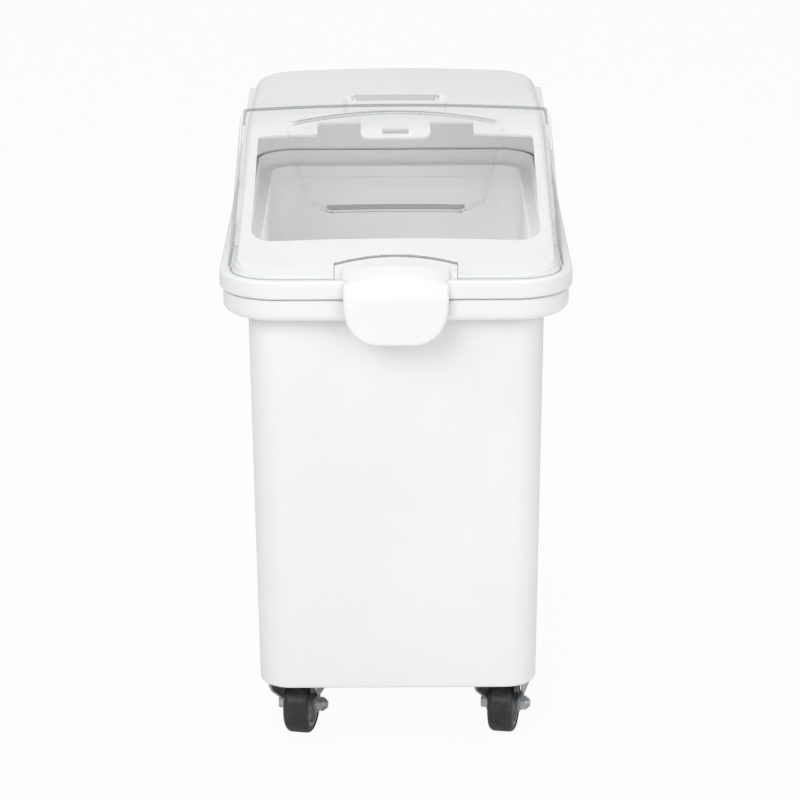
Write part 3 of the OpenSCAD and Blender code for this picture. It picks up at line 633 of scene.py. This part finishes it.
# Shoes above and below the rails: across, outwards from the arc's centre and along the wall
SHOE_X = (193.3, 197.2)
SHOE_R = ((1129.6, 1133.6), (1138.4, 1142.4))
SHOE_AT = (-28, 70)
SHOE_L = 23.5


def arc_block(name, side, xs, rs, at):
    """A short block that follows the rails' arc inside the lid's wall."""
    middle = (LID_REAR_Y - LID_FRONT_Y) / 2 / cos(SLOPE)
    sections = []
    for i in range(5):
        _, y, z = slope_point(0, middle + at + SHOE_L * (i / 4 - 0.5), -44)
        a = atan2(y - ARC_Y, z - ARC_Z)
        sections.append([(side * x, ARC_Y + r * sin(a), ARC_Z + r * cos(a))
                         for x, r in ((xs[0], rs[0]), (xs[1], rs[0]), (xs[1], rs[1]), (xs[0], rs[1]))])
    return eased(loft(name, sections), 0.4, 45, 2)


# Rails, swept along their arc

RAIL_X, RAIL_Y0, RAIL_Y1 = 188.6, -202.0, 269.0
RAIL_ACROSS, RAIL_DEEP = 13.2, 4.0


def sweep_group():
    """Node group that carries a rectangular section along a line of points."""
    group = bpy.data.node_groups.new("swept_rail", "GeometryNodeTree")
    face = group.interface
    face.new_socket("Geometry", in_out="INPUT", socket_type="NodeSocketGeometry")
    width = face.new_socket("Section across", in_out="INPUT", socket_type="NodeSocketFloat")
    depth = face.new_socket("Section deep", in_out="INPUT", socket_type="NodeSocketFloat")
    matter = face.new_socket("Material", in_out="INPUT", socket_type="NodeSocketMaterial")
    face.new_socket("Geometry", in_out="OUTPUT", socket_type="NodeSocketGeometry")
    nodes = group.nodes
    start, end = nodes.new("NodeGroupInput"), nodes.new("NodeGroupOutput")
    path = nodes.new("GeometryNodeMeshToCurve")
    upright = nodes.new("GeometryNodeSetCurveNormal")
    upright.mode = "Z_UP"
    section = nodes.new("GeometryNodeCurvePrimitiveQuadrilateral")
    skin = nodes.new("GeometryNodeCurveToMesh")
    skin.inputs["Fill Caps"].default_value = True
    real = nodes.new("GeometryNodeRealizeInstances")
    dress = nodes.new("GeometryNodeSetMaterial")
    for source, given, target, taken in (
            (start, "Geometry", path, "Mesh"),
            (path, "Curve", upright, "Curve"),
            (upright, "Curve", skin, "Curve"),
            (start, "Section across", section, "Width"),
            (start, "Section deep", section, "Height"),
            (section, "Curve", skin, "Profile Curve"),
            (skin, "Mesh", real, "Geometry"),
            (real, "Geometry", dress, "Geometry"),
            (start, "Material", dress, "Material"),
            (dress, "Geometry", end, "Geometry")):
        group.links.new(source.outputs[given], target.inputs[taken])
    return group, {"across": width.identifier, "deep": depth.identifier, "material": matter.identifier}


def make_rails(material):
    """The two curved rails on the hood's sides."""
    group, sockets = sweep_group()
    rails = []
    for side in (-1, 1):
        verts = [(side * RAIL_X, y, ARC_Z + sqrt(ARC_R ** 2 - (y - ARC_Y) ** 2))
                 for y in spread(RAIL_Y0, RAIL_Y1, 7.85)]
        mesh = bpy.data.meshes.new("rail")
        mesh.from_pydata([Vector(v) * MM for v in verts], [(i, i + 1) for i in range(len(verts) - 1)], [])
        rail = linked("rail", mesh)
        mod = rail.modifiers.new("sweep", "NODES")
        mod.node_group = group
        mod[sockets["across"]] = RAIL_ACROSS * MM
        mod[sockets["deep"]] = RAIL_DEEP * MM
        mod[sockets["material"]] = material
        applied(rail)
        rails.append(eased(rail, 0.6, 50, 2))
    return rails


# Front forks

# The axle lies behind the swivel's axis, and each fork stands turned at rest
AXLE_Y, AXLE_Z = 28.0, 37.5
FORK_TURN = {-1: radians(-13), 1: radians(-11)}
FORK_HALF, FORK_FLARE, FORK_TOP, FORK_SHEET = 20.5, 10.5, 83.6, 3.0
LEG_R, LEG_LOW = 12.0, 25.8
BORE_R = 5.2


def leg_span(z):
    """How far a fork's leg reaches ahead and behind at a height."""
    if z < AXLE_Z:
        reach = sqrt(max(0.0, LEG_R ** 2 - (AXLE_Z - z) ** 2))
        return AXLE_Y - reach, AXLE_Y + reach
    up = min(1.0, (z - AXLE_Z) / 36)
    return AXLE_Y - LEG_R - 31 * up ** 1.25, AXLE_Y + LEG_R - 8 * up


def circle_ring(place, r, steps=36):
    """A ring of points, each carried to its place."""
    return [place(r * cos(2 * pi * i / steps), r * sin(2 * pi * i / steps)) for i in range(steps)]


def make_fork(side):
    """Pressed fork of a front caster: flared legs that sweep forward to a round-shouldered crown."""
    half = [(FORK_HALF, z) for z in spread(LEG_LOW, 43, 1.8)[:-1]]
    half += [(FORK_HALF + FORK_FLARE * smoothstep(43, 64, z), z) for z in spread(43, 75.6, 1.6)[:-1]]
    half += arc_points(23, 75.6, 8, 0, 90, 6)
    path = mirrored(half, [(x, FORK_TOP) for x in (16, 8, 0, -8, -16)])
    rings = []
    for k, (x, z) in enumerate(path):
        (xa, za), (xb, zb) = path[max(0, k - 1)], path[min(len(path) - 1, k + 1)]
        run = sqrt((xb - xa) ** 2 + (zb - za) ** 2)
        inner = (x - FORK_SHEET * (zb - za) / run, z + FORK_SHEET * (xb - xa) / run)
        y0, y1 = leg_span(z)
        across = [y0 + (y1 - y0) * i / 10 for i in range(11)]
        rings.append([(x, y, z) for y in across] + [(inner[0], y, inner[1]) for y in reversed(across)])

    def level(z):
        return lambda a, b: (a, b, z)

    def upright(x):
        return lambda a, b: (x, AXLE_Y + a, AXLE_Z + b)

    sheet = loft("sheet", rings)
    cut(sheet, loft("kingpin_hole", [circle_ring(level(z), BORE_R) for z in (70, 95)]))
    cut(sheet, loft("axle_hole", [circle_ring(upright(x), BORE_R) for x in (-40, 40)]))
    rim = ((BORE_R, 80.6), (31.4, 80.6), (32, 81.2), (32, 83), (31.5, 83.5), (BORE_R, 83.5))
    disc = loft("disc", [circle_ring(level(z), r, 60) for r, z in rim], closed=True)
    fork = joined("fork_pressing", [eased(sheet, 0.7), disc])
    smooth_by_angle(fork, 40)
    turn = Matrix.Rotation(FORK_TURN[side], 4, "Z")
    fork.data.transform(Matrix.Translation(Vector((side * CASTER_X, MID_Y - CASTER_Y, 0)) * MM) @ turn)
    return fork


# Materials


class Val:
    """A shader socket that takes part in sums."""

    def __init__(self, graph, socket):
        self.graph, self.socket = graph, socket

    def maths(self, operation, a, b):
        return self.graph.add("ShaderNodeMath", {0: a, 1: b}, operation=operation)

    def __add__(self, other):
        return self.maths("ADD", self, other)

    __radd__ = __add__

    def __mul__(self, other):
        return self.maths("MULTIPLY", self, other)

    __rmul__ = __mul__

    def __pow__(self, other):
        return self.maths("POWER", self, other)

    def ramp(self, lo, hi):
        """0 to 1 between two values, held at the ends."""
        return self.graph.add("ShaderNodeMapRange", {"Value": self, "From Min": lo, "From Max": hi},
                              interpolation_type="SMOOTHSTEP")


def socket_name(key):
    """The surface shader's own name for an input."""
    return "IOR" if key == "ior" else key.replace("_", " ").title()


class Shader:
    """One material's node tree, built up from the surface shader."""

    def __init__(self, name, **fixed):
        self.material = bpy.data.materials.new(name)
        self.material.use_nodes = True
        self.tree = self.material.node_tree
        self.tree.nodes.clear()
        self.out = self.tree.nodes.new("ShaderNodeOutputMaterial")
        self.surface = self.tree.nodes.new("ShaderNodeBsdfPrincipled")
        self.tree.links.new(self.surface.outputs[0], self.out.inputs["Surface"])
        for key, value in fixed.items():
            self.surface.inputs[socket_name(key)].default_value = value
        self.place = self.add("ShaderNodeTexCoord", out="Object")

    def add(self, kind, inputs=None, out=0, **settings):
        """Adds a node, links or sets its inputs and gives one of its outputs."""
        node = self.tree.nodes.new(kind)
        for key, value in settings.items():
            setattr(node, key, value)
        for key, value in (inputs or {}).items():
            if isinstance(value, Val):
                self.tree.links.new(value.socket, node.inputs[key])
            else:
                node.inputs[key].default_value = value
        return Val(self, node.outputs[out])

    def noise(self, scale, detail=3.0, roughness=0.55, stretch=None):
        """Noise over the piece in metres, stretched along its axes if asked."""
        place = self.place
        if stretch:
            place = self.add("ShaderNodeMapping", {"Vector": place, "Scale": stretch})
        return self.add("ShaderNodeTexNoise", {"Vector": place, "Scale": scale, "Detail": detail,
                                               "Roughness": roughness})

    def mix(self, share, a, b):
        """A colour between two colours."""
        node = self.tree.nodes.new("ShaderNodeMix")
        node.data_type = "RGBA"
        named = {s.identifier: s for s in node.inputs}
        for key, value in (("Factor_Float", share), ("A_Color", a), ("B_Color", b)):
            if isinstance(value, Val):
                self.tree.links.new(value.socket, named[key])
            else:
                named[key].default_value = value if isinstance(value, float) else (*value, 1.0)
        return Val(self, next(s for s in node.outputs if s.identifier == "Result_Color"))

    def drive(self, **inputs):
        """Feeds values into the surface shader."""
        for key, value in inputs.items():
            self.tree.links.new(value.socket, self.surface.inputs[socket_name(key)])

    def grain(self, *layers):
        """Bumps from layers of (height, strength, distance in millimetres)."""
        normal = None
        for height, strength, distance in layers:
            inputs = {"Height": height, "Strength": strength, "Distance": distance * MM}
            if normal:
                inputs["Normal"] = normal
            normal = self.add("ShaderNodeBump", inputs)
        self.tree.links.new(normal.socket, self.surface.inputs["Normal"])


def white_plastic():
    s = Shader("white_plastic", ior=1.5, subsurface_weight=0.25, subsurface_scale=0.006,
               subsurface_radius=(1.0, 1.0, 1.0))
    cloud, smear, fine = s.noise(3.5, 4), s.noise(42, 5, 0.6), s.noise(1500, 2, 0.5)
    flow = s.noise(9, 3, 0.5, (1.0, 1.0, 0.18))
    tone = s.mix(cloud.ramp(0.3, 0.7), (0.86, 0.863, 0.865), (0.90, 0.902, 0.903))
    clean = s.mix(smear.ramp(0.55, 0.8) * 0.25, tone, (0.92, 0.92, 0.915))
    shade = s.add("ShaderNodeAttribute", attribute_name="shade", out="Fac")
    s.drive(base_color=s.mix(shade, clean, (0.56, 0.563, 0.565)), roughness=0.38 + 0.16 * smear + 0.05 * fine)
    s.grain((flow, 0.04, 1.2), (fine, 0.10, 0.05))
    return s.material


def clear_plastic():
    s = Shader("clear_plastic", ior=1.47)
    facing = s.add("ShaderNodeLayerWeight", {"Blend": 0.42}, out="Facing")
    edge, arch = (s.add("ShaderNodeAttribute", attribute_name=name, out="Fac") for name in ("line", "arch"))
    line = edge + arch
    rub, hair = s.noise(30, 4), s.noise(160, 3, 0.6, (1.0, 0.05, 1.0))
    # Painted shade: the lid's colour darkens where it is seen at a grazing angle, for the dark look of clear
    # plastic's edges
    grazing_dark = s.mix(facing.ramp(0.55, 0.98), (0.50, 0.51, 0.52), (0.12, 0.125, 0.13))
    # Painted shade: on the marked edge lines the colour goes near black and the plastic turns opaque and
    # rough, for the dark look of its edges
    s.drive(base_color=s.mix(line, grazing_dark, (0.07, 0.072, 0.075)),
            roughness=0.05 + 0.10 * rub.ramp(0.45, 0.75) + 0.05 * hair + 0.5 * line,
            alpha=0.008 + 0.006 * rub + 0.55 * facing ** 5.0 + 0.6 * line)
    s.grain((rub, 0.02, 0.4))
    return s.material


def zinc_steel():
    s = Shader("zinc_steel")
    spangle = s.add("ShaderNodeTexVoronoi", {"Vector": s.place, "Scale": 420.0}, out="Distance")
    wear, brushed = s.noise(70, 4), s.noise(260, 3, 0.6, (1.0, 1.0, 0.06))
    s.drive(base_color=s.mix(wear.ramp(0.35, 0.7), (0.42, 0.43, 0.44), (0.62, 0.63, 0.64)),
            metallic=0.9 + 0.1 * wear, roughness=0.26 + 0.16 * brushed + 0.1 * spangle)
    s.grain((brushed, 0.08, 0.06), (wear, 0.05, 0.2))
    return s.material


def bright_steel():
    s = Shader("bright_steel", metallic=1.0)
    wear = s.noise(180, 4)
    s.drive(base_color=s.mix(wear.ramp(0.3, 0.7), (0.62, 0.62, 0.63), (0.74, 0.74, 0.75)),
            roughness=0.12 + 0.12 * wear)
    s.grain((wear, 0.03, 0.05))
    return s.material


def brass():
    s = Shader("brass", metallic=1.0)
    wear = s.noise(240, 4)
    s.drive(base_color=s.mix(wear.ramp(0.3, 0.7), (0.58, 0.42, 0.18), (0.76, 0.60, 0.30)),
            roughness=0.22 + 0.16 * wear)
    s.grain((wear, 0.05, 0.05))
    return s.material


def wheel_plastic():
    s = Shader("wheel_plastic", ior=1.5)
    cloud, fine = s.noise(60, 4), s.noise(1400, 2)
    s.drive(base_color=s.mix(cloud.ramp(0.3, 0.75), (0.25, 0.252, 0.255), (0.33, 0.332, 0.335)),
            roughness=0.42 + 0.2 * cloud)
    s.grain((fine, 0.12, 0.05))
    return s.material


def tyre():
    s = Shader("tyre", ior=1.5)
    scuff, fine = s.noise(90, 5, 0.65), s.noise(1100, 3)
    s.drive(base_color=s.mix(scuff.ramp(0.45, 0.8), (0.018, 0.018, 0.019), (0.05, 0.05, 0.052)),
            roughness=0.24 + 0.26 * scuff)
    s.grain((fine, 0.2, 0.06), (scuff, 0.1, 0.3))
    return s.material


# The object

MATERIALS = {make.__name__: make() for make in (white_plastic, clear_plastic, zinc_steel, bright_steel, brass,
                                                wheel_plastic, tyre)}
SLOTS = {p["node"]: p["material_slot"] for p in frame["record"]["subparts"]}


def dress(obj, slot):
    """Gives a piece one material, the one made for a slot of the record."""
    obj.data.materials.clear()
    obj.data.materials.append(MATERIALS[slot])


for node, obj in frame["nodes"].items():
    dress(obj, SLOTS[node])

rails = make_rails(MATERIALS["white_plastic"])
hood = joined("hood_moulding", [make_hood()] + rails)
for piece, body, slot, node in ((make_bin(), "bin", "white_plastic", "bin_body"),
                                (hood, "hood", "white_plastic", "lid_base"),
                                (make_lid(), "lid", "clear_plastic", "clear_lid")):
    dress(piece, slot)
    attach(piece, body)
    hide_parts(node)
for side, hand in ((-1, "left"), (1, "right")):
    fork = make_fork(side)
    dress(fork, "zinc_steel")
    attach(fork, f"front_{hand}_caster")
    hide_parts(f"front_{hand}_fork")


# Floor, light and camera


def make_floor():
    """A wide pale floor that keeps the bin's soft shadow."""
    side = 30000.0
    floor = mesh_object("floor", [(-side, -side, 0), (side, -side, 0), (side, side, 0), (-side, side, 0)],
                        [(0, 1, 2, 3)], smooth=False)
    s = Shader("floor", roughness=0.9)
    cloud = s.noise(1.5, 3)
    s.drive(base_color=s.mix(cloud, (0.86, 0.86, 0.86), (0.9, 0.9, 0.9)))
    glow = s.tree.nodes.new("ShaderNodeEmission")
    glow.inputs["Color"].default_value = (1, 1, 1, 1)
    seen = s.add("ShaderNodeLightPath", out="Is Camera Ray")
    blend = s.tree.nodes.new("ShaderNodeMixShader")
    s.tree.links.new((seen * 0.95).socket, blend.inputs[0])
    s.tree.links.new(s.surface.outputs[0], blend.inputs[1])
    s.tree.links.new(glow.outputs[0], blend.inputs[2])
    s.tree.links.new(blend.outputs[0], s.out.inputs["Surface"])
    floor.data.materials.append(s.material)
    return floor


def make_world(level):
    """Even studio surroundings, plain white to the camera."""
    world = bpy.data.worlds.new("studio")
    world.use_nodes = True
    nodes, links = world.node_tree.nodes, world.node_tree.links
    nodes.clear()
    path = nodes.new("ShaderNodeLightPath")
    room, plain = nodes.new("ShaderNodeBackground"), nodes.new("ShaderNodeBackground")
    room.inputs["Strength"].default_value = level
    plain.inputs["Color"].default_value = (1, 1, 1, 1)
    plain.inputs["Strength"].default_value = 1.0
    room.inputs["Color"].default_value = (0.96, 0.98, 1.0, 1)
    either = nodes.new("ShaderNodeMixShader")
    out = nodes.new("ShaderNodeOutputWorld")
    links.new(path.outputs["Is Camera Ray"], either.inputs[0])
    links.new(room.outputs[0], either.inputs[1])
    links.new(plain.outputs[0], either.inputs[2])
    links.new(either.outputs[0], out.inputs["Surface"])
    bpy.context.scene.world = world


def make_light(name, place, target, size, power):
    """A soft rectangular light aimed at a point."""
    data = bpy.data.lights.new(name, "AREA")
    data.shape = "RECTANGLE"
    data.size, data.size_y = size
    data.energy = power
    lamp = linked(name, data)
    lamp.location = place
    lamp.rotation_mode = "QUATERNION"
    lamp.rotation_quaternion = (Vector(target) - Vector(place)).to_track_quat("-Z", "Y")
    return lamp


def make_glow(place, radius, power):
    """A weak soft light inside the bin, for the light that comes through its thin walls."""
    data = bpy.data.lights.new("glow", "POINT")
    data.energy = power
    data.shadow_soft_size = radius
    lamp = linked("glow", data)
    lamp.location = place
    return lamp


def make_camera():
    """Camera at the photo's angle: a long lens from a little above."""
    data = bpy.data.cameras.new("camera")
    data.lens = 145.0
    data.sensor_width = 36.0
    data.clip_end = 100.0
    cam = linked("camera", data)
    cam.location = (0.0041, -4.0, 1.578)
    cam.rotation_mode = "ZXY"
    cam.rotation_euler = (radians(90 - 16.97), 0, radians(-0.28))
    bpy.context.scene.camera = cam
    return cam


make_world(0.54)
make_floor()
make_light("key", (-1.3, -2.9, 2.4), (0, 0, 0.4), (2.0, 1.8), 42)
make_light("fill", (2.0, -2.6, 1.4), (0, 0, 0.35), (1.8, 1.8), 19)
make_light("top", (0, 0.0, 3.0), (0, -0.1, 0.5), (2.2, 2.2), 18)
make_glow((0, 0.06, 0.55), 0.14, 0.68)
make_camera()
bpy.context.scene.view_settings.view_transform = "Standard"
